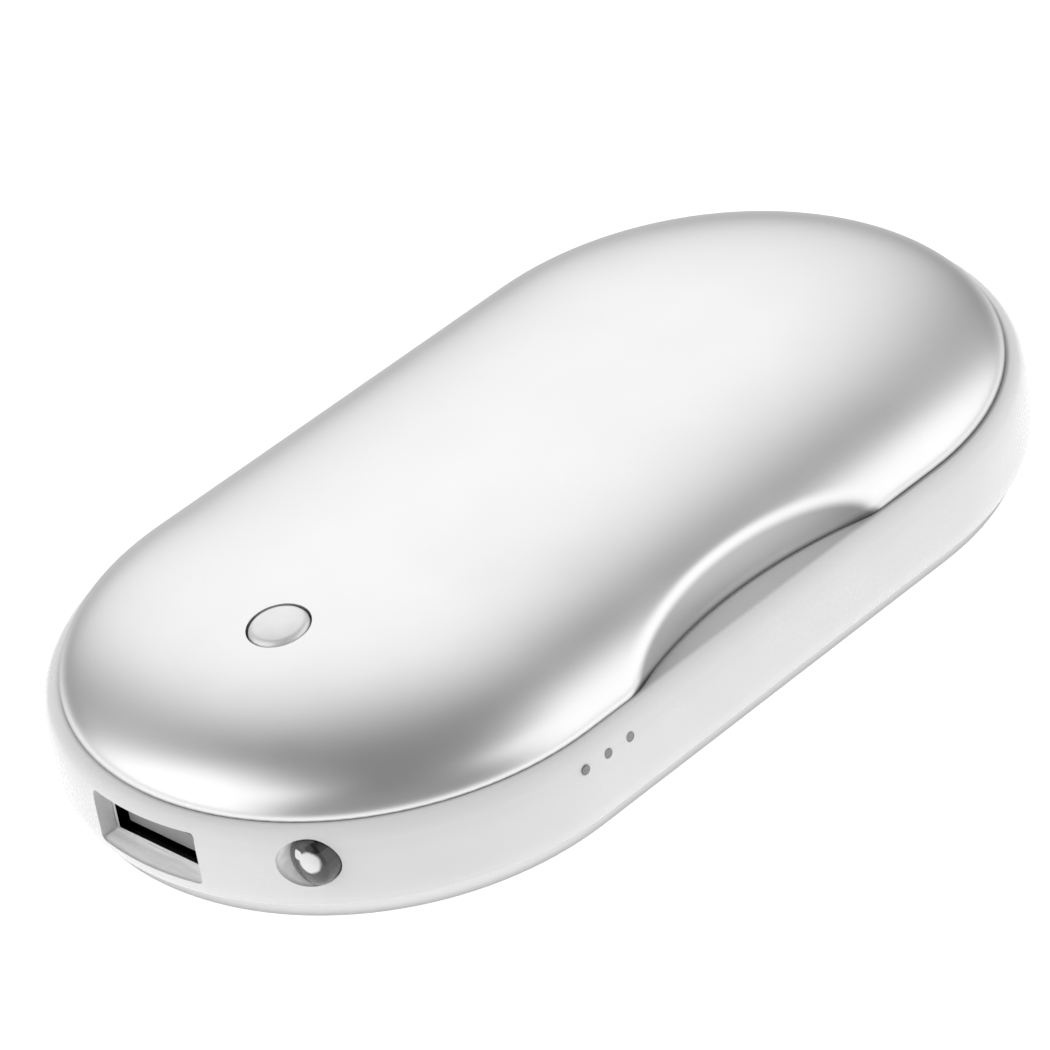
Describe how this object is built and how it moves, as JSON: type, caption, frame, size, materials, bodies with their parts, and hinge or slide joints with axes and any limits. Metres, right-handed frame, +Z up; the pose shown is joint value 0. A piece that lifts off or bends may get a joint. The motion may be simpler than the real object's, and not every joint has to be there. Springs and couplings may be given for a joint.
{
  "type": "rechargeable hand warmer",
  "caption": "Pebble-shaped rechargeable hand warmer: two domed metal covers on a white band, with a thumb scoop, a power button, a torch and an output socket.",
  "frame": {"origin": "middle of the flat base, on the surface that the part lies on", "axes": "+X along the length, away from the socket end; -Y is the side with the thumb scoop and the charge lights; +Z up"},
  "size_m": [0.112, 0.0624, 0.024],
  "materials": {
    "cover_metal": "fine bead-blasted, pearl silver",
    "band_plastic": "glossy white",
    "frame_plastic": "moulded satin",
    "button_plastic": "translucent light grey",
    "dark_plastic": "moulded black",
    "board_laminate": "green solder mask",
    "shell_steel": "nickel plated",
    "tongue_plastic": "moulded grey",
    "contact_metal": "gold plated",
    "lamp_resin": "clear",
    "pipe_resin": "smoked clear",
    "light_ceramic": "ceramic",
    "cell_can": "bright",
    "cell_wrap": "shrink film",
    "insulator_paper": "pressed paper",
    "strip_nickel": "rolled nickel",
    "wire_red": "silicone insulated",
    "wire_black": "silicone insulated",
    "wire_white": "silicone insulated",
    "heater_film": "amber film with printed tracks",
    "pad_rubber": "soft foam",
    "sensor_glass": "glass bead",
    "coil_ferrite": "ferrite",
    "screw_steel": "zinc plated"
  },
  "bodies": {
    "case": {"top_cover": "cover_metal", "bottom_cover": "cover_metal", "side_band": "band_plastic", "top_carrier": "frame_plastic", "bottom_carrier": "frame_plastic", "switch_body": "dark_plastic", "circuit_board": "board_laminate", "usb_a_shell": "shell_steel", "usb_a_tongue": "tongue_plastic", "usb_a_contacts": "contact_metal", "inlet_shell": "shell_steel", "inlet_tongue": "dark_plastic", "inlet_contacts": "contact_metal", "torch_lamp": "lamp_resin", "torch_lamp_frame": "shell_steel", "torch_lamp_holder": "dark_plastic", "light_pipe": "pipe_resin", "charge_lights": "light_ceramic", "cell_cans": "cell_can", "cell_wraps": "cell_wrap", "cell_caps": "cell_can", "cell_insulators": "insulator_paper", "positive_strip": "strip_nickel", "negative_strip": "strip_nickel", "battery_lead_red": "wire_red", "battery_lead_black": "wire_black", "top_heater": "heater_film", "bottom_heater": "heater_film", "top_pad": "pad_rubber", "bottom_pad": "pad_rubber", "top_heater_leads": "wire_white", "bottom_heater_leads": "wire_white", "temperature_sensor": "sensor_glass", "sensor_leads": "wire_white", "boost_coil": "coil_ferrite", "charge_chip": "dark_plastic", "control_chip": "dark_plastic", "capacitors": "light_ceramic", "long_screws": "screw_steel", "board_screws": "screw_steel"},
    "button": {"power_button": "button_plastic"},
    "plunger": {"switch_plunger": "dark_plastic"}
  },
  "joints": [
    {"name": "button_press", "type": "slide", "parent": "case", "child": "button", "axis": [0, 0, -1], "range_m": [0, 0.0005], "stiffness_N_per_m": 2000},
    {"name": "plunger_press", "type": "slide", "parent": "case", "child": "plunger", "axis": [0, 0, -1], "range_m": [0, 0.0005]}
  ],
  "couplings": [
    {"joint": "plunger_press", "follows": "button_press", "ratio": 1}
  ]
}
